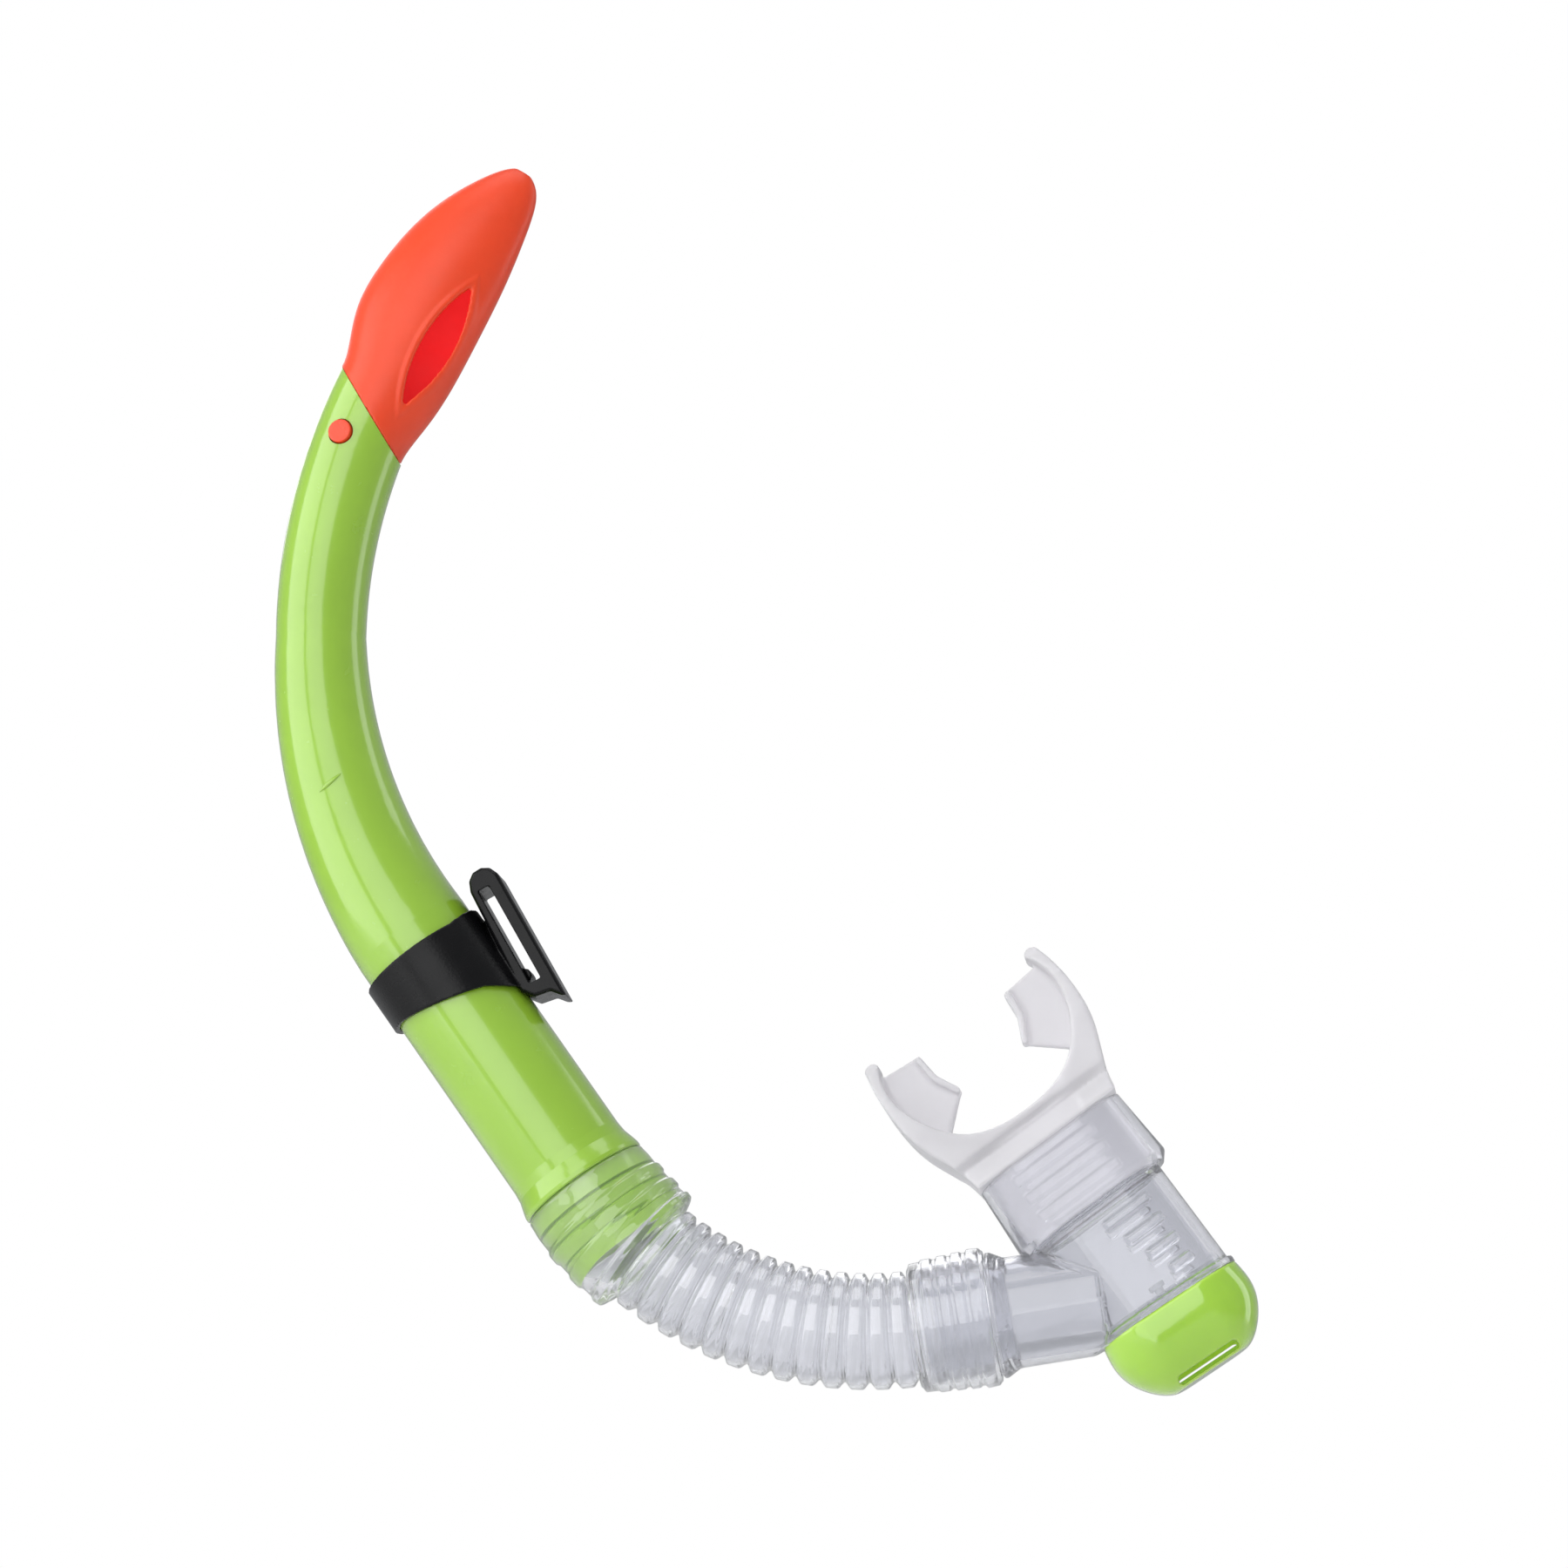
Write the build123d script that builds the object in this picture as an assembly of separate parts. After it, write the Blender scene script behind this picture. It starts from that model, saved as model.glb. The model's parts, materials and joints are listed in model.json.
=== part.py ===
"""Snorkel with a splash guard, a strap keeper, a corrugated lower hose and a purging mouthpiece chamber.

Millimetres. X runs right, Y back and Z up with the barrel upright; the whole tube bends in the plane Y = 0.
The origin is the middle of the keeper's strap slot, whose through direction is Y.
"""
from build123d import *
import os
from math import cos, degrees, radians, sin

# ---- barrel: a straight lower run, then two arcs that bring it past the vertical ----
BARREL_SLOPE = 54.9  # degrees below the horizontal, going down the straight run
BARREL_R = 15.65
WAIST_R = 11.55
BARREL_TOP_R = 12.3
BARREL_WALL = 1.75
SLOT_OFFSET = 20.65  # strap slot centre to barrel axis
RUN_ABOVE_SLOT = 15.6
RUN_BELOW_SLOT = 61.7
LOWER_BEND_R = 135.0
UPPER_BEND_R = 147.0
CUT_TURN = 23.4  # degrees of the upper bend at the middle of the slanted top cut
CUT_SLOPE = 59.5  # degrees below the horizontal, along the cut, going right
FLANGE_R = 17.0
FLANGE_LENGTH = 4.0

# ---- splash guard ----
GUARD_AXIS = 57.8  # degrees above the horizontal
GUARD_WALL = 1.7
SKIRT_WALL = 1.3
PORT_LENGTH = 36.0
PORT_WIDTH = 7.4
PORT_SLOPE = 61.3
BAFFLE_THICKNESS = 1.4

# ---- hose spigots and hose ----
SPIGOT_LENGTH = 19.0
SPIGOT_BORE_R = 11.9
HOSE_BEND_R = 87.5
HOSE_RISE = 8.75  # degrees above the horizontal at the chamber end
UPPER_CUFF_LENGTH = 24.0
UPPER_CUFF_R = 17.4
CUFF_LEAD = 2.4  # the lower cuff starts this far before the hose bend ends
CUFF_GAP = 0.35  # the hose bend's last section stops this far short of the lower cuff's flat end
LOWER_CUFF_R = 16.4
CUFF_WALL = 1.6
CORRUGATIONS = (2, 4, 5, 2)  # in each hose section, from the barrel down
CREST_R = 14.35
VALLEY_R = 12.6
HOSE_WALL = 1.0
SECTION_TRIM = 0.1  # cut off each end of a hose section
RUNNING_FIT = 0.08
GAP = 0.3

# ---- mouthpiece chamber ----
CHAMBER_SLOPE = 54.0  # degrees below the horizontal, going from the mouth to the purge
CHAMBER_W = 18.6  # half width, in the bend plane
CHAMBER_D = 12.8  # half depth
CHAMBER_WALL = 1.8
CHAMBER_LENGTH = 29.3
NECK_LENGTH = 18.5
NECK_STEP = 1.7  # the neck is this much narrower than the chamber all round
COLLAR_TOP_W = 21.0
COLLAR_BASE_W = 22.2
COLLAR_LENGTH = 20.2
COLLAR_WALL = 1.7
RIM_W = 19.6
RIM_THICKNESS = 1.8
RIB_START = 5.6  # first grip rib below the chamber's shoulder
RIB_PITCH = 5.9
RIB_END = 11.5
RIB_WIDTH = 2.1
RIB_HEIGHT = 0.7
BAND_WIDTH = 2.6  # raised bands across the collar's front and back
BRANCH_R = 13.75
BRANCH_TO_RIM = 5.0  # branch axis crosses the chamber axis this far above the rim
BRANCH_REACH = 58.2  # from that crossing back to the end of the hose bend
DOME_HEIGHT = 19.0
EXHAUST_LENGTH = 17.4  # slots in the purge cover's front and back, open to its inside
EXHAUST_HEIGHT = 2.3
EXHAUST_STATION = 17.2
EXHAUST_FLOOR = 5.2  # the slots reach in to this distance from the middle
PURGE_TILT = 2.6  # degrees that the rim and everything past it lean towards the branch side

# ---- mouthpiece ----
SLEEVE_GAP = 0.1
WING_TIP = 42.4  # wing tips above the collar's upper edge
BITE_HALF_THICKNESS = 2.3
STUD_HEIGHT = 2.2

# ---- small parts ----
BUTTON_R = 3.1
BUTTON_TURN = 14.0  # degrees from straight front or back, towards the outside of the bend
BUTTON_BELOW_CUT = 8.6
DIAPHRAGM_R = 9.4
SEAT_THICKNESS = 1.6
SEAT_HOLE_R = 2.2
STEM_R = 1.2
RING_R = 17.15
SLOT_LENGTH = 27.0
SLOT_WIDTH = 3.0
KEEPER_DEPTH = 15.0
FRAME_TILT = 5.5  # degrees that the strap frame leans in towards the barrel at its lower end


def in_plane(angle):
    """Unit vector in the bend plane, angle in degrees above +X."""
    return Vector(cos(radians(angle)), 0, sin(radians(angle)))


DOWN = in_plane(-BARREL_SLOPE)  # down the straight run
OUT = in_plane(90 - BARREL_SLOPE)  # square to it, on the slot's side
BACK = Vector(0, 1, 0)

RUN_TOP = DOWN * -RUN_ABOVE_SLOT - OUT * SLOT_OFFSET
RUN_END = DOWN * RUN_BELOW_SLOT - OUT * SLOT_OFFSET
LOWER_BEND_C = RUN_TOP + OUT * LOWER_BEND_R
WAIST = LOWER_BEND_C - Vector(LOWER_BEND_R, 0, 0)  # where the axis is vertical
UPPER_BEND_C = WAIST + Vector(UPPER_BEND_R, 0, 0)
HOSE_BEND_C = RUN_END + OUT * HOSE_BEND_R
HOSE_TURN = BARREL_SLOPE + HOSE_RISE
HOSE_LENGTH = radians(HOSE_TURN) * HOSE_BEND_R
RISE = in_plane(HOSE_RISE)
PURGE = in_plane(-CHAMBER_SLOPE)  # along the chamber, from the mouth to the purge
WIDE = in_plane(90 - CHAMBER_SLOPE)  # across the chamber, away from the branch


def on_upper_bend(turn):
    """Axis point of the upper barrel bend, turn in degrees from the vertical point."""
    return UPPER_BEND_C + in_plane(180 - turn) * UPPER_BEND_R


def on_hose(length):
    """Axis point of the hose bend, length along it from the barrel's flange."""
    angle = degrees(length / HOSE_BEND_R)
    return HOSE_BEND_C + in_plane(-90 - BARREL_SLOPE + angle) * HOSE_BEND_R


def hose_direction(length):
    return in_plane(-BARREL_SLOPE + degrees(length / HOSE_BEND_R))


HOSE_END = on_hose(HOSE_LENGTH)
BRANCH_CROSS = HOSE_END + RISE * BRANCH_REACH
CHAMBER_BASE = BRANCH_CROSS + PURGE * BRANCH_TO_RIM  # chamber axis at the purge rim
COLLAR_TOP = -CHAMBER_LENGTH - COLLAR_LENGTH  # station along PURGE from CHAMBER_BASE


def across(point, direction):
    """Sketch plane square to direction at point, its X axis square to the bend plane."""
    return Plane(origin=point, x_dir=BACK, z_dir=direction)


def chamber_plane(station, tilt=0):
    """Sketch plane across the chamber: X across its width, Y across its depth."""
    axis = in_plane(-CHAMBER_SLOPE - tilt)
    width = in_plane(90 - CHAMBER_SLOPE - tilt)
    return Plane(origin=CHAMBER_BASE + axis * station, x_dir=width, z_dir=axis)


def rod(point, direction, radius, length):
    return extrude(across(point, direction) * Circle(radius), length)


def turned(point, direction, profile):
    """Solid of revolution: profile is a list of (station, radius), closed along the axis."""
    stations = [(r, s) for s, r in profile]
    outline = [(0, profile[0][0])] + stations + [(0, profile[-1][0])]
    face = make_face(Polyline(*outline, close=True))
    solid = revolve(Plane.XZ * face, Axis.Z)
    return across(point, direction).location * solid


def oval(station, half_w, half_d, tilt=0):
    """Rounded oblong across the chamber axis."""
    corner = 0.92 * min(half_w, half_d)
    return chamber_plane(station, tilt) * RectangleRounded(2 * half_w, 2 * half_d, corner)


def oval_block(station, length, half_w, half_d, tilt=0):
    return extrude(oval(station, half_w, half_d, tilt), length)


def slab(points, half_depth):
    """Prism through the bend plane, from points that lie in it."""
    return extrude(make_face(Polyline(*points, close=True)), half_depth, dir=(0, 1, 0), both=True)


def at(origin, along, out_of, station, offset):
    """Point at a station along one direction and an offset along another."""
    return origin + along * station + out_of * offset


# ---------------------------------------------------------------- barrel
def bend_path(centre, radius, start, turn):
    """Arc in the bend plane; start and turn in degrees, counterclockwise from +X."""
    plane = Plane(origin=centre, x_dir=(1, 0, 0), z_dir=(0, -1, 0))
    return plane * CenterArc(Vector(0, 0, 0), radius, start, turn)


def barrel_envelope(inset, run_length, top_turn):
    """The barrel's solid envelope: straight run, and two bends that narrow to a waist between them."""
    run = rod(RUN_TOP, DOWN, BARREL_R - inset, run_length)
    waist = Circle(WAIST_R - inset)
    lower = sweep(
        [across(WAIST, Vector(0, 0, -1)) * waist, across(RUN_TOP, DOWN) * Circle(BARREL_R - inset)],
        path=bend_path(LOWER_BEND_C, LOWER_BEND_R, 180, 90 - BARREL_SLOPE),
        multisection=True,
    )
    top = across(on_upper_bend(top_turn), in_plane(90 - top_turn)) * Circle(BARREL_TOP_R - inset)
    upper = sweep(
        [across(WAIST, Vector(0, 0, 1)) * waist, top],
        path=bend_path(UPPER_BEND_C, UPPER_BEND_R, 180, -top_turn),
        multisection=True,
    )
    return run + lower + upper


def cut_plane():
    """The slanted joint between barrel and splash guard, facing up."""
    return Plane(origin=on_upper_bend(CUT_TURN), x_dir=BACK, z_dir=in_plane(90 - CUT_SLOPE))


def button_axis(side):
    """Direction from the barrel axis out through a snap button; side is -1 front, 1 back."""
    turn = CUT_TURN - degrees(BUTTON_BELOW_CUT / UPPER_BEND_R)
    outward = in_plane(180 - turn) * sin(radians(BUTTON_TURN))
    return on_upper_bend(turn), outward + BACK * (side * cos(radians(BUTTON_TURN)))


def button_bore(side, radius, start, length):
    point, direction = button_axis(side)
    plane = Plane(origin=point + direction * start, z_dir=direction)
    return extrude(plane * Circle(radius), length)


def spigot_profile(start, barb_r, root_r, pitch, count, tip_r):
    """Stations and radii of a barbed spigot; the barbs slope towards the tip."""
    profile = []
    for i in range(count):
        s = start + i * pitch
        drop = (barb_r - tip_r) * i / count
        profile += [(s, root_r - drop), (s + 0.6, barb_r - drop), (s + pitch - 0.4, root_r - drop)]
    return profile


def barrel_tube():
    run_length = RUN_ABOVE_SLOT + RUN_BELOW_SLOT
    outer = barrel_envelope(0, run_length, CUT_TURN + 9)
    foot = turned(
        RUN_END,
        DOWN,
        [(-2 * FLANGE_LENGTH, BARREL_R), (-1.3 * FLANGE_LENGTH, BARREL_R + 0.25)]
        + [(-0.7 * FLANGE_LENGTH, FLANGE_R - 0.4), (-1.2, FLANGE_R), (-0.3, FLANGE_R), (0, FLANGE_R - 0.3)]
        + [(0, BARREL_R - 0.4), (4.8, BARREL_R - 0.4)]
        + spigot_profile(5.2, 15.0, 14.2, 4.6, 3, 13.2)
        + [(SPIGOT_LENGTH, 12.9)],
    )
    inner = barrel_envelope(BARREL_WALL, run_length - 6, CUT_TURN + 12)
    throat = rod(RUN_TOP + DOWN * (run_length - 6.5), DOWN, SPIGOT_BORE_R, SPIGOT_LENGTH + 8)
    tube = outer + foot - inner - throat
    tube = split(tube, bisect_by=cut_plane(), keep=Keep.BOTTOM)
    for side in (-1, 1):
        tube -= button_bore(side, BUTTON_R + GAP, 4, 12)
    return tube


# ---------------------------------------------------------------- splash guard
GUARD_STATIONS = (
    # distance up the guard, shift across, lean towards the cut, half width, half depth
    (11.0, -1.2, 18.5, 15.9, 12.4),
    (22.5, -2.6, 9.5, 16.7, 12.2),
    (35.0, -3.4, 2.0, 16.0, 11.2),
    (48.0, -3.4, 0.0, 14.4, 9.4),
    (62.0, -2.2, 0.0, 10.6, 6.6),
    (71.0, -0.9, 0.0, 6.4, 3.8),
    (74.8, -1.0, 0.0, 2.4, 1.5),
)


def guard_body(inset):
    """Leaf-shaped solid that grows out of the barrel's slanted top; inset shrinks it evenly."""
    base = on_upper_bend(CUT_TURN)
    rise = in_plane(GUARD_AXIS)
    shift = in_plane(GUARD_AXIS - 90)
    slant = radians(CUT_SLOPE - CUT_TURN)
    base_r = WAIST_R + 0.5 - inset
    sections = [cut_plane() * Ellipse(base_r, base_r / cos(slant))]
    for distance, offset, lean, half_w, half_d in GUARD_STATIONS:
        up = distance - (1.5 * inset if distance > 70 else 0)
        normal = in_plane(GUARD_AXIS - lean)
        plane = Plane(origin=base + rise * up + shift * offset, x_dir=BACK, z_dir=normal)
        sections.append(plane * Ellipse(half_d - 0.6 * inset, half_w - 0.9 * inset))
    return loft(sections)


def air_ports():
    """Pointed oval bar through the guard, for the port on each side."""
    centre = on_upper_bend(CUT_TURN) + in_plane(GUARD_AXIS) * 23.0 + in_plane(GUARD_AXIS - 90) * 7.2
    along = in_plane(PORT_SLOPE) * (PORT_LENGTH / 2)
    over = in_plane(PORT_SLOPE - 90) * (PORT_WIDTH / 2)
    edges = [
        ThreePointArc(centre + along, centre + over, centre - along),
        ThreePointArc(centre - along, centre - over, centre + along),
    ]
    return extrude(make_face(edges), 20, dir=(0, 1, 0), both=True)


def splash_guard():
    shell = guard_body(0) - guard_body(GUARD_WALL)
    skirt_r = WAIST_R - BARREL_WALL - SLEEVE_GAP
    start_turn, end_turn = CUT_TURN - 8, CUT_TURN + 8
    path = bend_path(UPPER_BEND_C, UPPER_BEND_R, 180 - start_turn, start_turn - end_turn)
    start = across(on_upper_bend(start_turn), in_plane(90 - start_turn))
    skirt = sweep(start * Circle(skirt_r), path=path)
    skirt = split(skirt, bisect_by=cut_plane().offset(2.0), keep=Keep.BOTTOM)
    collar = split(guard_body(0.4), bisect_by=cut_plane().offset(2.0), keep=Keep.BOTTOM)
    guard = shell + collar + skirt - sweep(start * Circle(skirt_r - SKIRT_WALL), path=path)
    for side in (-1, 1):
        guard -= button_bore(side, BUTTON_R + GAP, 4, 6)
    return guard - air_ports()


def splash_baffle():
    """Flat web that stands across the guard between its two air ports."""
    half = BACK * (BAFFLE_THICKNESS / 2)
    web = split(guard_body(GUARD_WALL + 0.15), bisect_by=Plane(origin=-half, z_dir=BACK), keep=Keep.TOP)
    web = split(web, bisect_by=Plane(origin=half, z_dir=BACK), keep=Keep.BOTTOM)
    return split(web, bisect_by=cut_plane().offset(5), keep=Keep.TOP)


def snap_button(side):
    """Round catch on the guard's skirt, standing just proud of the barrel."""
    foot_at = 5.9
    stem = button_bore(side, BUTTON_R, foot_at, BARREL_TOP_R + 0.45 - foot_at)
    foot = button_bore(side, BUTTON_R + 0.9, foot_at, 1.2)
    return stem + foot


# ---------------------------------------------------------------- strap keeper
def keeper():
    outline_top = [(5.8, -19), (5.8, 10), (4.4, 16), (4.4, 19)]
    outline_low = [(29.3, 19), (28.2, 15.5), (24.2, 8.5), (20.8, -5), (18.4, -14), (18.0, -19)]
    points = [at(RUN_TOP, DOWN, OUT, s, t) for s, t in outline_top + outline_low]
    band = rod(RUN_TOP + DOWN * 2, DOWN, RING_R, 30) & slab(points, 20)

    along = in_plane(-BARREL_SLOPE - FRAME_TILT)
    out_of = in_plane(90 - BARREL_SLOPE - FRAME_TILT)

    def f(p, q):
        return along * p + out_of * q

    frame = slab(
        [f(-14.4, -3.4), f(-17.0, -2.4), f(-18.5, -0.5), f(-18.6, 1.9), f(-17.5, 3.9), f(-15.2, 5.0)]
        + [f(20.6, 5.0), f(20.0, 3.8), f(17.8, 2.0), f(17.0, -2.2), f(14.0, -4.6)],
        KEEPER_DEPTH / 2,
    )
    frame = chamfer(frame.faces().filter_by(Plane.XZ).edges(), 0.7)
    slot = slab(
        [f(-SLOT_LENGTH / 2, -SLOT_WIDTH / 2), f(SLOT_LENGTH / 2, -SLOT_WIDTH / 2)]
        + [f(SLOT_LENGTH / 2, SLOT_WIDTH / 2), f(-SLOT_LENGTH / 2, SLOT_WIDTH / 2)],
        KEEPER_DEPTH,
    )
    lug = slab([f(8.6, -1.5), f(9.6, -0.2), f(11.2, -0.2), f(12.6, -1.5)], KEEPER_DEPTH / 2 - 3)
    bore = rod(RUN_TOP - DOWN * 12, DOWN, BARREL_R + RUNNING_FIT, 60)
    return band + frame - slot + lug - bore


# ---------------------------------------------------------------- hose
def hose_sweep(radius, start, end):
    """Round bar along the hose bend between two lengths from the flange."""
    first = -90 - BARREL_SLOPE + degrees(start / HOSE_BEND_R)
    path = bend_path(HOSE_BEND_C, HOSE_BEND_R, first, degrees((end - start) / HOSE_BEND_R))
    return sweep(across(on_hose(start), hose_direction(start)) * Circle(radius), path=path)


def hose_upper_cuff():
    collar = rod(RUN_END + DOWN * GAP, DOWN, UPPER_CUFF_R - 0.5, 5)
    sleeve = hose_sweep(UPPER_CUFF_R, 3.8, UPPER_CUFF_LENGTH)
    rings = [hose_sweep(UPPER_CUFF_R + 0.6, s, s + 1.8) for s in (9, 15, UPPER_CUFF_LENGTH - 2.2)]
    cuff = collar + sleeve
    for ring in rings:
        cuff += ring
    seat = rod(RUN_END - DOWN, DOWN, BARREL_R - 0.4 + RUNNING_FIT, 6.2)
    bore = hose_sweep(UPPER_CUFF_R - CUFF_WALL, 4.2, UPPER_CUFF_LENGTH - 1.4)
    mouth = hose_sweep(VALLEY_R - HOSE_WALL, UPPER_CUFF_LENGTH - 3, UPPER_CUFF_LENGTH + 1)
    return cuff - seat - bore - mouth


def corrugated(start, count, pitch):
    """Count corrugations of the hose from start, as a thin wall."""
    shoulder = CREST_R - 0.25
    wave = ((0.18, VALLEY_R), (0.34, shoulder), (0.5, CREST_R), (0.66, shoulder), (0.82, VALLEY_R))
    rings = [(start + (i + phase) * pitch, radius) for i in range(count) for phase, radius in wave]
    rings = [(start + SECTION_TRIM, VALLEY_R), *rings, (start + count * pitch - SECTION_TRIM, VALLEY_R)]

    def skin(inset):
        return loft([across(on_hose(s), hose_direction(s)) * Circle(r - inset) for s, r in rings], ruled=True)

    return skin(0) - skin(HOSE_WALL)


def hose_lower_cuff():
    profile = [(-CUFF_LEAD, LOWER_CUFF_R - 1.4), (-1.8, LOWER_CUFF_R - 0.6), (1.2, LOWER_CUFF_R - 0.6)]
    for i in range(3):
        s = 1.8 + i * 3.7
        profile += [(s, LOWER_CUFF_R + 0.1 + 0.2 * i), (s + 2.2, LOWER_CUFF_R + 0.1 + 0.2 * i)]
        profile += [(s + 2.8, LOWER_CUFF_R - 0.3 + 0.2 * i), (s + 3.4, LOWER_CUFF_R - 0.3 + 0.2 * i)]
    profile += [(13.6, LOWER_CUFF_R + 0.9), (16.2, LOWER_CUFF_R + 0.7), (17.0, LOWER_CUFF_R)]
    cuff = turned(HOSE_END, RISE, profile)
    bore = rod(HOSE_END + RISE * -1.0, RISE, 14.6 + RUNNING_FIT, 20)
    mouth = rod(HOSE_END + RISE * -4.0, RISE, VALLEY_R - HOSE_WALL, 6)
    return cuff - bore - mouth


# ---------------------------------------------------------------- chamber
def chamber_body():
    shell = oval_block(-CHAMBER_LENGTH, CHAMBER_LENGTH + 1, CHAMBER_W, CHAMBER_D)
    rim = oval_block(-RIM_THICKNESS, RIM_THICKNESS, RIM_W, CHAMBER_D + 0.9, PURGE_TILT)
    neck_w, neck_d = CHAMBER_W - NECK_STEP, CHAMBER_D - NECK_STEP
    neck = oval_block(-CHAMBER_LENGTH - NECK_LENGTH, NECK_LENGTH + 1, neck_w, neck_d)
    shoulder_at = 17.6  # stations on the branch, from the end of the hose bend
    branch = turned(
        HOSE_END,
        RISE,
        [(0.4, 13.6)]
        + [(0.8 + i * 3.6 + k, r) for i in range(4) for k, r in ((0, 13.9), (0.6, 14.6), (2.6, 14.0), (3.2, 13.9))]
        + [(shoulder_at, 13.9), (shoulder_at, 15.6), (shoulder_at + 1.0, 15.6)]
        + [(shoulder_at + 4.4, BRANCH_R), (BRANCH_REACH - 14, BRANCH_R)],
    )
    outer = split(shell + rim + neck + branch, bisect_by=chamber_plane(0, PURGE_TILT), keep=Keep.BOTTOM)
    wall = CHAMBER_WALL
    hollow = oval_block(-CHAMBER_LENGTH + 1.2, CHAMBER_LENGTH, CHAMBER_W - wall, CHAMBER_D - wall)
    hollow += oval_block(-4, 6, CHAMBER_W - wall, CHAMBER_D - wall, PURGE_TILT)
    throat = oval_block(-CHAMBER_LENGTH - NECK_LENGTH - 1, NECK_LENGTH + 4, neck_w - 1.5, neck_d - 1.5)
    branch_bore = rod(HOSE_END - RISE, RISE, SPIGOT_BORE_R, BRANCH_REACH - 13)
    body = outer - hollow - throat - branch_bore
    front = chamber_plane(-CHAMBER_LENGTH)
    for i, left in enumerate((-1.3, 0.9, 3.1, 5.6)):
        for side in (-1, 1):
            centre = ((left + RIB_END) / 2, side * CHAMBER_D, RIB_START + RIB_PITCH * i)
            body += front.location * (Pos(*centre) * Box(RIB_END - left, 2 * RIB_HEIGHT, RIB_WIDTH))
    return body


def mouthpiece_collar():
    sections = [
        oval(COLLAR_TOP, COLLAR_TOP_W, CHAMBER_D + 2.2),
        oval(COLLAR_TOP + COLLAR_LENGTH - 2.4, COLLAR_BASE_W, CHAMBER_D + 3.4),
        oval(COLLAR_TOP + COLLAR_LENGTH, COLLAR_BASE_W - 2.0, CHAMBER_D + 1.6),
    ]
    outer = loft(sections, ruled=True)
    bore = oval_block(COLLAR_TOP - 1, COLLAR_LENGTH, COLLAR_TOP_W - COLLAR_WALL, CHAMBER_D + 0.5)
    hook = SLEEVE_GAP - NECK_STEP  # the collar's lower lip hooks in under the sleeve, round the neck
    lip = oval_block(COLLAR_TOP, COLLAR_LENGTH + 1, CHAMBER_W + hook, CHAMBER_D + hook)
    top = chamber_plane(COLLAR_TOP)
    for station in (4.4, 9.6, 15.0):
        for side in (-1, 1):
            depth = CHAMBER_D + 2.2 + 1.2 * station / COLLAR_LENGTH
            outer += top.location * (Pos(-1, side * (depth - 0.3), station) * Box(24, 2, BAND_WIDTH))
    keep_off = rod(HOSE_END + RISE * 10, RISE, BRANCH_R + 0.15, BRANCH_REACH - 20)
    return outer - bore - lip - keep_off


def mouthpiece_outline():
    """Edges of the outline in the bend plane, each point a station from the collar's edge and an offset."""

    def m(s, t):
        return at(CHAMBER_BASE + PURGE * COLLAR_TOP, PURGE, WIDE, s, t)

    w = COLLAR_TOP_W
    edges = [Line(m(-0.1, -w), m(-0.1, w))]
    for k in (-1, 1):
        edges += [
            Spline(m(-0.1, k * w), m(-4.2, k * 21.7), m(-15.6, k * 26.2), m(-30.0, k * 27.9), m(-40.0, k * 26.6)),
            ThreePointArc(m(-40.0, k * 26.6), m(-WING_TIP, k * 24.4), m(-40.4, k * 22.6)),
            Spline(m(-40.4, k * 22.6), m(-31.0, k * 25.2), m(-21.5, k * 22.6), m(-15.8, k * 18.8)),
        ]
    edges.append(
        Spline(m(-15.8, -18.8), m(-11.2, -12.6), m(-9.0, 0), m(-11.2, 12.6), m(-15.8, 18.8))
    )
    return edges


def mouthpiece():
    origin = CHAMBER_BASE + PURGE * COLLAR_TOP
    blank = extrude(make_face(mouthpiece_outline()), 20, dir=(0, 1, 0), both=True)
    side_view = Plane(origin=origin - WIDE * 40, x_dir=PURGE, z_dir=WIDE)
    half = [(0.0, 15.0), (-5.6, 12.8), (-7.6, 15.6), (-20, 16.0), (-32, 13.6), (-39.5, 8.6), (-43.0, 3.0)]
    points = [(s, d) for s, d in half] + [(s, -d) for s, d in reversed(half)]
    blank &= extrude(side_view * make_face(Polyline(*points, close=True)), 80)

    def m(s, t):
        return at(origin, PURGE, WIDE, s, t)

    for k in (-1, 1):
        corner = [m(-38.2, k * 25.2), m(-37.0, k * 13.0), m(-30.2, k * 12.4), m(-24.1, k * 9.4)]
        corner += [m(-15.7, k * 19.0), m(-18.0, k * 24.0)]
        tab = slab(corner, BITE_HALF_THICKNESS)
        lip = [m(-37.0, k * 13.0), m(-30.2, k * 12.4), m(-24.1, k * 9.4)]
        lip += [m(-23.0, k * 10.7), m(-29.6, k * 14.1), m(-36.8, k * 14.7)]
        blank += tab + slab(lip, BITE_HALF_THICKNESS + STUD_HEIGHT)

    sleeve_w = COLLAR_TOP_W - COLLAR_WALL - SLEEVE_GAP
    sleeve = oval_block(COLLAR_TOP - 0.2, COLLAR_LENGTH - 1.2, sleeve_w, CHAMBER_D + 0.4)
    neck_w, neck_d = CHAMBER_W - NECK_STEP + SLEEVE_GAP, CHAMBER_D - NECK_STEP + SLEEVE_GAP
    socket = oval_block(-CHAMBER_LENGTH - NECK_LENGTH - SLEEVE_GAP, NECK_LENGTH + 2, neck_w, neck_d)
    airway = oval_block(COLLAR_TOP - 16, 20, 13.4, 8.0)
    return blank + sleeve - socket - airway


# ---------------------------------------------------------------- purge valve
def purge_valve_seat():
    w, d = CHAMBER_W - CHAMBER_WALL - SLEEVE_GAP, CHAMBER_D - CHAMBER_WALL - SLEEVE_GAP
    plate = oval_block(-3.0, SEAT_THICKNESS, w, d, PURGE_TILT)
    base = chamber_plane(-4.0, PURGE_TILT)
    holes = [location * Circle(SEAT_HOLE_R) for location in PolarLocations(5.4, 6)]
    holes.append(Circle(STEM_R + GAP))
    for hole in holes:
        plate -= extrude(base * hole, 4)
    return plate


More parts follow.
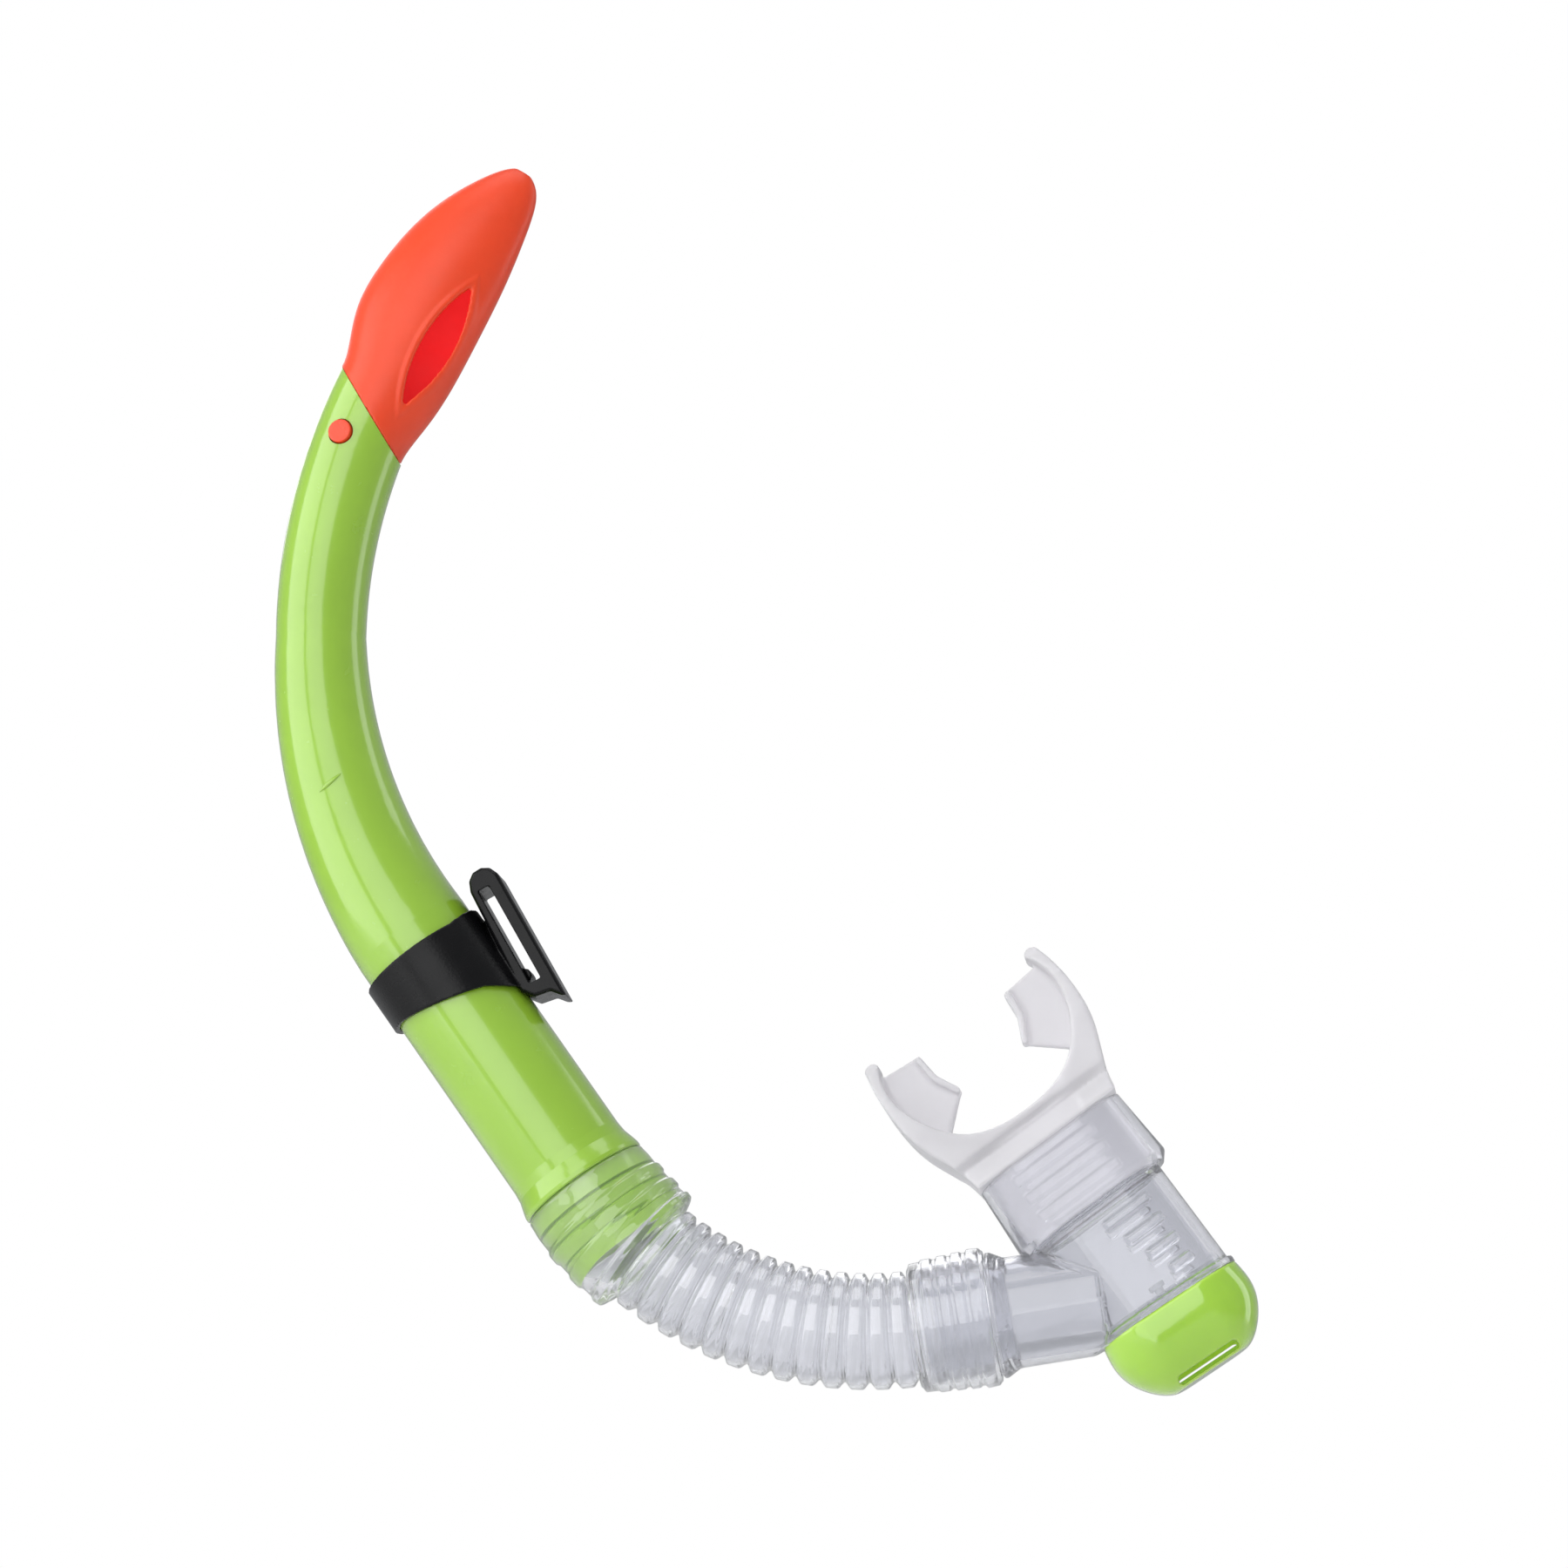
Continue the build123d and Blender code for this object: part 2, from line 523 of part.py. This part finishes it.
def purge_diaphragm():
    top = -3.0 + SEAT_THICKNESS + 0.1
    disc = extrude(chamber_plane(top, PURGE_TILT) * Circle(DIAPHRAGM_R), 0.8)
    stem = extrude(chamber_plane(-5.9, PURGE_TILT) * Circle(STEM_R), 5.9 + top + 0.4)
    bead = extrude(chamber_plane(-6.2, PURGE_TILT) * Circle(2.1), 1.2)
    return disc + stem + bead


DOME_STATIONS = (
    # station, half width, half depth
    (0.0, 19.5, 13.6),
    (5.5, 20.0, 13.6),
    (10.5, 18.9, 12.7),
    (15.0, 16.0, 10.6),
    (18.0, 12.6, 7.8),
    (DOME_HEIGHT, 10.2, 5.8),
)


def dome(inset):
    sections = []
    for station, half_w, half_d in DOME_STATIONS:
        level = min(station, DOME_HEIGHT - inset)
        sections.append(oval(level + 0.05, half_w - inset, half_d - inset, PURGE_TILT))
        if station > DOME_HEIGHT - inset:
            break
    return loft(sections)


def purge_cover():
    shell = dome(0) - dome(1.7)
    slot = fillet(Box(EXHAUST_LENGTH, CHAMBER_D, EXHAUST_HEIGHT).edges().filter_by(Axis.Y), 1.0)
    for side in (-1, 1):
        middle = Pos(0, side * (EXHAUST_FLOOR + CHAMBER_D / 2), 0)
        shell -= chamber_plane(EXHAUST_STATION, PURGE_TILT).location * (middle * slot)
    return shell


# ---------------------------------------------------------------- build
def build():
    pitch = (HOSE_LENGTH - CUFF_LEAD - CUFF_GAP - UPPER_CUFF_LENGTH) / sum(CORRUGATIONS)
    parts = {
        "barrel_tube": barrel_tube(),
        "splash_guard": splash_guard(),
        "splash_baffle": splash_baffle(),
        "snap_button_front": snap_button(-1),
        "snap_button_rear": snap_button(1),
        "strap_keeper": keeper(),
        "hose_upper_cuff": hose_upper_cuff(),
        "hose_lower_cuff": hose_lower_cuff(),
        "chamber_body": chamber_body(),
        "mouthpiece_collar": mouthpiece_collar(),
        "mouthpiece": mouthpiece(),
        "purge_valve_seat": purge_valve_seat(),
        "purge_diaphragm": purge_diaphragm(),
        "purge_cover": purge_cover(),
    }
    start = UPPER_CUFF_LENGTH
    for number, count in enumerate(CORRUGATIONS, 1):
        parts[f"hose_section_{number}"] = corrugated(start, count, pitch)
        start += count * pitch
    return parts


os.makedirs("parts", exist_ok=True)
for name, shape in build().items():
    export_step(shape, f"parts/{name}.step")
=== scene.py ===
import json
from math import acos, atan2, cos, pi, radians, sin

import bmesh
import bpy
from mathutils import Matrix, Vector


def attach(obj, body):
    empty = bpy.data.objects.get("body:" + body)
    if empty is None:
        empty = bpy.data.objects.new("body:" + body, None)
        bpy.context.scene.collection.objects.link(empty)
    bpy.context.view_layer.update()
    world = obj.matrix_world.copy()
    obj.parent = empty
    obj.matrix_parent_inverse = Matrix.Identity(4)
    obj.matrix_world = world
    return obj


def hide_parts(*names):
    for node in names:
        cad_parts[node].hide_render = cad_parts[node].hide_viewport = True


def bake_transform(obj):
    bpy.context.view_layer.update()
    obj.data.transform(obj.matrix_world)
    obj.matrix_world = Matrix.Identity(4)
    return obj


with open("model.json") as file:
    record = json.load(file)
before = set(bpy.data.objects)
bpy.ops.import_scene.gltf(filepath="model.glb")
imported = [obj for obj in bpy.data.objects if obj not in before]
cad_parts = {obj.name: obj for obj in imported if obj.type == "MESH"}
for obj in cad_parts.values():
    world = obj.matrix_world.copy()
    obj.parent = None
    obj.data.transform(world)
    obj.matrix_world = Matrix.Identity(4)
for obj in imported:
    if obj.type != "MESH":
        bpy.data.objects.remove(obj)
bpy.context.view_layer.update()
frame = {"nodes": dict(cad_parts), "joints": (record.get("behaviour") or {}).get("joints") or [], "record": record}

# ---------------------------------------------------------------- places, all from the frame
MM = 0.001
BACK = Vector((0, 1, 0))
joints = {j["name"]: j for j in frame["joints"]}
mounts = {m["name"]: m for m in frame["record"]["mounts"]}
nodes = frame["nodes"]


def quarter_turn(v):
    """v turned 90 degrees in the bend plane, from +X towards +Z."""
    return Vector((-v.z, 0, v.x))


# The hose leaves the barrel at RUN_END going DOWN and meets the chamber's branch at HOSE_END, on the RISE.
DOWN = Vector(joints["hose_swivel"]["axis"])
RUN_END = Vector(joints["hose_swivel"]["pos_m"])
OUT = quarter_turn(DOWN)
RISE = Vector(joints["mouthpiece_swivel"]["axis"])
HOSE_END = Vector(joints["mouthpiece_swivel"]["pos_m"])
PURGE = -Vector(mounts["mouthpiece_bite"]["axis"])  # from the bite towards the purge cover

HOSE_TURN = acos(DOWN.dot(RISE))
HOSE_R = (HOSE_END - RUN_END).length / (2 * sin(HOSE_TURN / 2))
HOSE_CENTRE = RUN_END + OUT * HOSE_R
HOSE_LENGTH = HOSE_R * HOSE_TURN


def hose_point(s):
    """Axis point and direction at length s from the barrel's flange; straight on past the bend's ends."""
    if s <= 0:
        return RUN_END + DOWN * s, DOWN
    if s >= HOSE_LENGTH:
        return HOSE_END + RISE * (s - HOSE_LENGTH), RISE
    angle = s / HOSE_R
    direction = DOWN * cos(angle) + OUT * sin(angle)
    return HOSE_CENTRE - quarter_turn(direction) * HOSE_R, direction


# ---------------------------------------------------------------- materials
def node(tree, kind, **inputs):
    made = tree.nodes.new(kind)
    for name, value in inputs.items():
        made.inputs[name.replace("_", " ")].default_value = value
    return made


def plastic(name, base, spread, rough, rough_spread=0.06, grain=900, bump=0.02, blotch=60, **sockets):
    """Moulded plastic: cloudy colour, uneven gloss and a fine mould grain over one Principled shader."""
    material = bpy.data.materials.new(name)
    material.use_nodes = True
    tree = material.node_tree
    shader = tree.nodes["Principled BSDF"]
    for socket, value in sockets.items():
        shader.inputs[socket.replace("_", " ")].default_value = value
    coordinates = tree.nodes.new("ShaderNodeTexCoord")

    cloud = node(tree, "ShaderNodeTexNoise", Scale=blotch, Detail=4.0, Roughness=0.55)
    tree.links.new(coordinates.outputs["Object"], cloud.inputs["Vector"])
    ramp = tree.nodes.new("ShaderNodeValToRGB")
    dark, light = ramp.color_ramp.elements
    dark.position, light.position = 0.32, 0.68
    dark.color = (*[c * (1 - spread) for c in base], 1)
    light.color = (*[min(1, c * (1 + spread)) for c in base], 1)
    tree.links.new(cloud.outputs["Fac"], ramp.inputs["Fac"])
    tree.links.new(ramp.outputs["Color"], shader.inputs["Base Color"])

    smear = node(tree, "ShaderNodeTexNoise", Scale=blotch * 3.1, Detail=5.0, Roughness=0.6)
    tree.links.new(coordinates.outputs["Object"], smear.inputs["Vector"])
    gloss = node(tree, "ShaderNodeMapRange", From_Min=0.3, From_Max=0.7,
                 To_Min=max(0.02, rough - rough_spread), To_Max=rough + rough_spread)
    tree.links.new(smear.outputs["Fac"], gloss.inputs["Value"])
    tree.links.new(gloss.outputs["Result"], shader.inputs["Roughness"])

    texture = node(tree, "ShaderNodeTexNoise", Scale=grain, Detail=3.0, Roughness=0.5)
    tree.links.new(coordinates.outputs["Object"], texture.inputs["Vector"])
    relief = node(tree, "ShaderNodeBump", Strength=bump, Distance=0.0004)
    tree.links.new(texture.outputs["Fac"], relief.inputs["Height"])
    tree.links.new(relief.outputs["Normal"], shader.inputs["Normal"])
    return material


LIME = plastic("lime_plastic", (0.265, 0.475, 0.030), 0.03, 0.24, 0.04, grain=1500, bump=0.02, IOR=1.5,
               Subsurface_Weight=0.15, Subsurface_Radius=(0.9, 1.0, 0.3), Subsurface_Scale=0.003,
               Coat_Weight=1.0, Coat_Roughness=0.10)
ORANGE = plastic("orange_guard", (0.740, 0.056, 0.011), 0.04, 0.36, 0.05, grain=1800, bump=0.05, IOR=1.45,
                 Subsurface_Weight=0.25, Subsurface_Radius=(1.0, 0.25, 0.1), Subsurface_Scale=0.004)
# Painted light: the baffle's deeper, more saturated red stands in for light bounced inside the translucent orange
# guard.
BOUNCE_RED = plastic("guard_inside_painted_bounce", (0.780, 0.003, 0.006), 0.06, 0.60, 0.05, grain=1800, bump=0.08, IOR=1.3,
              Subsurface_Weight=0.3, Subsurface_Radius=(1.0, 0.1, 0.1), Subsurface_Scale=0.004)
BUTTON = plastic("button_orange", (0.780, 0.050, 0.010), 0.05, 0.28, 0.06, grain=2200, bump=0.08)
BLACK = plastic("keeper_black", (0.0030, 0.0030, 0.0035), 0.25, 0.27, 0.06, grain=1700, bump=0.12, IOR=1.30)
CLEAR_HOSE = plastic("clear_pvc", (0.85, 0.855, 0.885), 0.02, 0.08, 0.03, grain=700, bump=0.03, IOR=1.36,
                     Transmission_Weight=0.95, Coat_Weight=1.0, Coat_Roughness=0.05)
CLEAR_CHAMBER = plastic("clear_chamber", (0.74, 0.745, 0.78), 0.02, 0.06, 0.03, grain=500, bump=0.03,
                        IOR=1.49, Transmission_Weight=0.94)
SILICONE = plastic("milky_silicone", (0.68, 0.67, 0.69), 0.03, 0.36, 0.04, grain=900, bump=0.03, IOR=1.41,
                   Transmission_Weight=0.40,
                   Subsurface_Weight=0.4, Subsurface_Radius=(1.0, 0.95, 1.0), Subsurface_Scale=0.005)
COVER = plastic("cover_lime", (0.330, 0.570, 0.045), 0.03, 0.12, 0.03, grain=1500, bump=0.02, IOR=1.5,
                Subsurface_Weight=0.55, Subsurface_Radius=(0.9, 1.0, 0.3), Subsurface_Scale=0.006,
                Coat_Weight=1.0, Coat_Roughness=0.05)
MEMBRANE = plastic("valve_membrane", (0.50, 0.51, 0.53), 0.04, 0.4, 0.05, grain=1500, bump=0.1, IOR=1.41,
                   Transmission_Weight=0.35)
PASSES_LIGHT = (CLEAR_HOSE, CLEAR_CHAMBER, SILICONE, MEMBRANE, ORANGE)


def paint(piece, material):
    """Give piece its one material and its slot; a material that passes light casts no shadow."""
    piece.data.materials.clear()
    piece.data.materials.append(material)
    piece.visible_shadow = material not in PASSES_LIGHT


# ---------------------------------------------------------------- mesh building
def join_rings(bm, rings):
    """Faces between each ring of vertices and the next one."""
    count = len(rings[0])
    for a, b in zip(rings, rings[1:]):
        for k in range(count):
            n = (k + 1) % count
            bm.faces.new((a[k], a[n], b[n], b[k]))


def new_piece(name, bm, material):
    bmesh.ops.recalc_face_normals(bm, faces=bm.faces)
    mesh = bpy.data.meshes.new(name)
    bm.to_mesh(mesh)
    bm.free()
    mesh.shade_smooth()
    piece = bpy.data.objects.new(name, mesh)
    bpy.context.scene.collection.objects.link(piece)
    paint(piece, material)
    return piece


def shell_along(name, profile, material, segments=112):
    """Closed thin-walled tube along the hose: profile is one closed loop of (length, radius), out and back.

    A third entry of True keeps that ring on the barrel's straight axis.
    """
    bm = bmesh.new()
    turns = [2 * pi * k / segments for k in range(segments)]
    rings = []
    for s, r, *straight in profile:
        centre, direction = (RUN_END + DOWN * s, DOWN) if straight else hose_point(s)
        side = quarter_turn(direction)
        rings.append([bm.verts.new(centre + (BACK * cos(a) + side * sin(a)) * r) for a in turns])
    join_rings(bm, rings + rings[:1])
    return new_piece(name, bm, material)


def softened(name, cad_node, body, material, voxel, passes, axis=None, shape=None):
    """Detailed stand-in for a CAD node: its own shape, remeshed evenly and with its sharp edges eased.

    axis lines the remesh up with a slanted part, and shape(co, normal) is how far to raise each vertex.
    """
    mesh = nodes[cad_node].data.copy()
    turn = Matrix.Rotation(-atan2(axis.x, -axis.z), 4, "Y") if axis else Matrix.Identity(4)
    mesh.transform(turn)
    piece = bpy.data.objects.new(name, mesh)
    bpy.context.scene.collection.objects.link(piece)
    remesh = piece.modifiers.new("even", "REMESH")
    remesh.mode = "VOXEL"
    remesh.voxel_size = voxel
    ease = piece.modifiers.new("ease", "SMOOTH")
    ease.factor = 0.5
    ease.iterations = passes
    done = bpy.data.meshes.new_from_object(piece.evaluated_get(bpy.context.evaluated_depsgraph_get()))
    done.name = name
    piece.modifiers.clear()
    piece.data = done
    done.transform(turn.inverted())
    if shape:
        places = [v.co + v.normal * shape(v.co, v.normal) for v in done.vertices]
        done.vertices.foreach_set("co", [value for place in places for value in place])
        done.update()
    done.shade_smooth()
    paint(piece, material)
    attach(piece, body)
    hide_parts(cad_node)
    return piece


# ---------------------------------------------------------------- hose
CUFF_END = 24 * MM  # the upper cuff's length, where the corrugations start
CREST_R, VALLEY_R, HOSE_WALL = 14.35 * MM, 12.6 * MM, 1.0 * MM
CORRUGATIONS = 13
STEPS_PER_CORRUGATION = 20
LAST_VALLEY = HOSE_LENGTH - 2.75 * MM
PITCH = (LAST_VALLEY - CUFF_END) / CORRUGATIONS
SEAMS = CUFF_END + PITCH * 4, CUFF_END + PITCH * 9  # between the hose's three pieces, each in a valley
SEAM_GAP = 0.01 * MM
SEAM_LIP = 0.25 * MM


def corrugation(s):
    """Outer radius of the corrugated stretch: broad flat crests, rounded shoulders and narrow valleys."""
    phase = (s - CUFF_END) / PITCH % 1.0
    climb = min(1.0, min(phase, 1 - phase) / 0.30)
    return VALLEY_R + (CREST_R - VALLEY_R) * climb * climb * (3 - 2 * climb)


def corrugated(start, end):
    """Outer profile of the corrugated wall from start to end."""
    steps = max(2, round((end - start) / PITCH * STEPS_PER_CORRUGATION))
    lengths = [start + (end - start) * k / steps for k in range(steps + 1)]
    return [(s, corrugation(s)) for s in lengths]


def inside(wave):
    """Inner side of the corrugated wall, which thins to a lip at the stretch's own ends."""
    ends = wave[0][0], wave[-1][0]
    return [(s, r - (SEAM_LIP if s in ends else HOSE_WALL)) for s, r in wave]


def eased(points, steps=5):
    """Points joined by S curves, so that each step in a moulded profile has soft shoulders."""
    out = []
    for (s0, r0), (s1, r1) in zip(points, points[1:]):
        for k in range(steps):
            t = k / steps
            out.append((s0 + (s1 - s0) * t, r0 + (r1 - r0) * t * t * (3 - 2 * t)))
    return out + [points[-1]]


def in_mm(pairs, shift=0.0):
    return [(shift + s * MM, r * MM) for s, r in pairs]


def upper_cuff():
    """Outer and inner profile of the cuff on the barrel's spigot, whose three rings it grips."""
    outer = eased(in_mm([
        (0.3, 16.6), (0.8, 17.0), (4.4, 17.3), (7.2, 17.3), (8.4, 17.9), (10.2, 17.9), (11.2, 17.35),
        (13.6, 17.35), (14.8, 17.95), (16.8, 17.95), (17.8, 17.3), (20.2, 17.3), (21.2, 17.9),
        (22.6, 17.7), (23.5, 15.6), (24.0, 12.6),
    ]))
    grip = [(0.3, 15.22), (4.7, 15.22), (4.9, 14.15)]
    for k in range(3):
        grip += [(s + 4.6 * k, r - 0.6 * k - 0.05) for s, r in ((5.2, 14.2), (5.8, 15.0), (9.4, 14.2))]
    on_barrel = [(s, r, True) for s, r in in_mm(grip + [(19.0, 12.85)])]
    return outer, on_barrel + in_mm([(22.6, 11.9), (24.0, 11.6)])


def lower_cuff():
    """Outer and inner profile of the ribbed cuff on the chamber's branch, from the last valley on."""
    outer = eased(in_mm([
        (-2.75, 12.6), (-2.5, 14.6), (-1.6, 15.9), (1.0, 16.0), (1.8, 16.5), (3.8, 16.5), (4.6, 16.1),
        (5.2, 16.1), (5.8, 16.7), (7.6, 16.7), (8.3, 16.3), (8.9, 16.3), (9.5, 16.9), (11.3, 16.9),
        (12.0, 16.5), (12.6, 16.5), (13.4, 17.25), (16.0, 17.1), (17.0, 16.3), (17.2, 15.6),
    ], HOSE_LENGTH))
    inner = eased(in_mm([
        (-2.75, 11.6), (-1.2, 11.6), (-0.6, 14.0), (0.0, 14.68), (17.0, 14.7), (17.2, 15.0),
    ], HOSE_LENGTH))
    return outer, inner


def hose_piece(name, outer, inner):
    return shell_along(name, outer + inner[::-1], CLEAR_HOSE)


def hose():
    """The hose as three closed pieces, one for each of its three joints, each with its transform baked into its
    mesh.
    """
    outer, inner = upper_cuff()
    wave = corrugated(CUFF_END, SEAMS[0] - SEAM_GAP)
    upper = hose_piece("hose_upper", outer + wave[1:], inner + inside(wave)[1:])
    wave = corrugated(SEAMS[0] + SEAM_GAP, SEAMS[1] - SEAM_GAP)
    middle = hose_piece("hose_middle", wave, inside(wave))
    outer, inner = lower_cuff()
    wave = corrugated(SEAMS[1] + SEAM_GAP, LAST_VALLEY)
    lower = hose_piece("hose_lower", wave[:-1] + outer, inside(wave)[:-1] + inner)

    spans = ((upper, "hose_top", "hose_upper_middle", "hose_bend_upper", SEAMS[0]),
             (middle, "hose_upper_middle", "hose_lower_middle", "hose_bend_side", SEAMS[1]),
             (lower, "hose_lower_middle", "hose_bottom", "hose_bend_lower", LAST_VALLEY))
    for piece, a, b, joint, last in spans:
        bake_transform(piece)
    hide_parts("hose_upper_cuff", "hose_section_1")
    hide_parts("hose_section_2", "hose_section_3")
    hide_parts("hose_section_4", "hose_lower_cuff")


hose()


# ---------------------------------------------------------------- carried-over and softened parts
TICK_ENDS = Vector((-47.8, 0, 36.0)) * MM, Vector((-42.3, 0, 40.7)) * MM
TICK_HALF_WIDTH, TICK_HEIGHT, TICK_ROOT = 0.65 * MM, 0.45 * MM, 0.25 * MM
TICK_STEPS = 24
# One cross-section of the tick, as (place across, lift); a lift of -1 is its root, in the barrel's wall.
TICK_SECTION = (-1, -1), (-0.8, 0.25), (-0.4, 0.85), (0, 1), (0.4, 0.85), (0.8, 0.25), (1, -1), (0, -1)
IN_FRONT = BACK * 60 * MM


def tick_ridge():
    """Small raised tick on the barrel's front, drawn as a row of cross-sections that follow its surface."""
    low, high = TICK_ENDS
    beside = quarter_turn((high - low).normalized())
    bm = bmesh.new()
    rows = []
    for k in range(TICK_STEPS + 1):
        t = k / TICK_STEPS
        swell = max(0.06, sin(pi * t) ** 0.6)
        row = []
        for u, lift in TICK_SECTION:
            start = low + (high - low) * t + beside * (u * TICK_HALF_WIDTH * swell) - IN_FRONT
            _, place, normal, _ = nodes["barrel_tube"].ray_cast(start, BACK)
            rise = TICK_HEIGHT * swell * lift if lift > 0 else -TICK_ROOT
            row.append(bm.verts.new(place + normal * rise))
        rows.append(row)
    join_rings(bm, rows)
    bm.faces.new(rows[0])
    bm.faces.new(rows[-1][::-1])
    tick = new_piece("barrel_tick", bm, LIME)
    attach(tick, "barrel")


PORT_TIPS = Vector((-11.2, 0, 168.2)) * MM, Vector((-28.3, 0, 137.0)) * MM
PORT_HALF_WIDTH = 3.7 * MM
LIP_HEIGHT, LIP_OFFSET, LIP_REACH = 0.35 * MM, 0.9 * MM, 1.3 * MM


def port_lip(co, normal):
    """Height of the low rounded lip on the guard's face round each air port, a lens between two arcs."""
    middle = (PORT_TIPS[0] + PORT_TIPS[1]) / 2
    along = (PORT_TIPS[0] - PORT_TIPS[1]).normalized()
    half = (PORT_TIPS[0] - PORT_TIPS[1]).length / 2
    arc = (half * half + PORT_HALF_WIDTH**2) / (2 * PORT_HALF_WIDTH)
    arm = co - middle
    across = abs(arm.dot(quarter_turn(along)))
    off = Vector((arm.dot(along), across + arc - PORT_HALF_WIDTH)).length - arc
    facing = max(0.0, normal.y if co.y > 0 else -normal.y)
    near = max(0.0, 1 - abs(off - LIP_OFFSET) / LIP_REACH)
    return LIP_HEIGHT * near * near * (3 - 2 * near) * facing


paint(nodes["barrel_tube"], LIME)
paint(nodes["splash_baffle"], BOUNCE_RED)
paint(nodes["purge_valve_seat"], CLEAR_CHAMBER)
paint(nodes["purge_diaphragm"], MEMBRANE)
tick_ridge()
for side in ("front", "rear"):
    softened(f"button_{side}", f"snap_button_{side}", f"button_{side}", BUTTON, 0.2 * MM, 12)
softened("guard", "splash_guard", "barrel", ORANGE, 0.4 * MM, 2, shape=port_lip)
softened("keeper", "strap_keeper", "keeper", BLACK, 0.3 * MM, 2, DOWN)
softened("chamber", "chamber_body", "chamber", CLEAR_CHAMBER, 0.38 * MM, 2, PURGE)
softened("collar", "mouthpiece_collar", "chamber", CLEAR_CHAMBER, 0.32 * MM, 1, PURGE)
softened("bite_mouthpiece", "mouthpiece", "chamber", SILICONE, 0.5 * MM, 8, PURGE)
softened("cover", "purge_cover", "chamber", COVER, 0.35 * MM, 3, PURGE)


# ---------------------------------------------------------------- camera, light, floor
VIEW_TARGET = Vector((0.0686, 0, 0.0385))
VIEW_AZIMUTH, VIEW_ELEVATION, VIEW_DISTANCE = radians(5.3), radians(-10.3), 1.3
LIGHT_TARGET = Vector((0.06, 0, 0.05))
SOFTBOXES = (  # name, azimuth, elevation, distance, width, height, radiance
    ("left", -62, 4, 1.5, 1.34, 2.4, 2.3),
    ("front", -12, 4, 1.5, 1.06, 2.4, 1.9),
    ("top", 10, 78, 1.5, 1.2, 0.9, 1.6),
    ("right", 105, 15, 1.5, 0.5, 1.6, 1.5),
    ("rear", 200, 35, 1.8, 1.2, 1.2, 1.0),
)
FLOOR_LEVEL, FLOOR_SIZE = -0.36, 12.0
SKY_LEVELS = (0.0, 0.36), (0.30, 0.62), (0.46, 0.80), (0.60, 0.74), (0.78, 0.92), (1.0, 0.55)
MIX_FACTOR, MIX_A, MIX_B, MIX_RESULT = 0, 6, 7, 2  # sockets of a Mix node set to colour


def direction_to(azimuth, elevation):
    """Unit vector from the object; azimuth 0 is in front of it and -90 degrees to its left."""
    return Vector((sin(azimuth) * cos(elevation), -cos(azimuth) * cos(elevation), sin(elevation)))


def camera():
    back = direction_to(VIEW_AZIMUTH, VIEW_ELEVATION)
    data = bpy.data.cameras.new("camera")
    data.lens = 118.18
    data.sensor_width = 36
    made = bpy.data.objects.new("camera", data)
    made.location = VIEW_TARGET + back * VIEW_DISTANCE
    made.rotation_euler = (-back).to_track_quat("-Z", "Y").to_euler()
    bpy.context.scene.collection.objects.link(made)
    bpy.context.scene.camera = made


def softbox(name, azimuth, elevation, distance, width, height, radiance):
    """Rectangular lamp that faces the object, with angles in degrees."""
    place = direction_to(radians(azimuth), radians(elevation)) * distance
    data = bpy.data.lights.new(name, "AREA")
    data.shape = "RECTANGLE"
    data.size = width
    data.size_y = height
    data.energy = radiance * width * height * pi
    made = bpy.data.objects.new(name, data)
    made.location = place + LIGHT_TARGET
    made.rotation_euler = place.to_track_quat("Z", "Y").to_euler()
    made.visible_camera = False
    bpy.context.scene.collection.objects.link(made)


def surroundings():
    """White behind the object, banded paper seen through it, a dimmer room for reflections and light."""
    world = bpy.data.worlds.new("studio")
    world.use_nodes = True
    tree = world.node_tree
    background = tree.nodes["Background"]
    path = tree.nodes.new("ShaderNodeLightPath")
    coordinates = tree.nodes.new("ShaderNodeTexCoord")
    split = tree.nodes.new("ShaderNodeSeparateXYZ")
    tree.links.new(coordinates.outputs["Generated"], split.inputs["Vector"])
    bands = tree.nodes.new("ShaderNodeValToRGB")
    ramp = bands.color_ramp
    ramp.elements[0].position, ramp.elements[1].position = SKY_LEVELS[0][0], SKY_LEVELS[-1][0]
    for position, _ in SKY_LEVELS[1:-1]:
        ramp.elements.new(position)
    for element, (_, level) in zip(ramp.elements, SKY_LEVELS):
        element.color = (level * 0.97, level * 0.975, level, 1)
    reach = node(tree, "ShaderNodeMapRange", From_Min=-1)
    tree.links.new(split.outputs["Z"], reach.inputs["Value"])
    tree.links.new(reach.outputs["Result"], bands.inputs["Fac"])

    through = tree.nodes.new("ShaderNodeMix")
    through.data_type = "RGBA"
    through.inputs[MIX_A].default_value = (0.42, 0.43, 0.44, 1)
    tree.links.new(path.outputs["Is Transmission Ray"], through.inputs[MIX_FACTOR])
    tree.links.new(bands.outputs["Color"], through.inputs[MIX_B])
    seen = tree.nodes.new("ShaderNodeMix")
    seen.data_type = "RGBA"
    seen.inputs[MIX_B].default_value = (1, 1, 1, 1)
    tree.links.new(path.outputs["Is Camera Ray"], seen.inputs[MIX_FACTOR])
    tree.links.new(through.outputs[MIX_RESULT], seen.inputs[MIX_A])
    tree.links.new(seen.outputs[MIX_RESULT], background.inputs["Color"])
    bpy.context.scene.world = world


def floor():
    bm = bmesh.new()
    bmesh.ops.create_grid(bm, x_segments=8, y_segments=8, size=FLOOR_SIZE)
    made = new_piece("floor", bm, plastic("paper", (0.88, 0.88, 0.88), 0.01, 0.8, grain=300))
    made.location = (0, 0, FLOOR_LEVEL)


camera()
surroundings()
floor()
for box in SOFTBOXES:
    softbox(*box)
bpy.context.scene.view_settings.view_transform = "Standard"
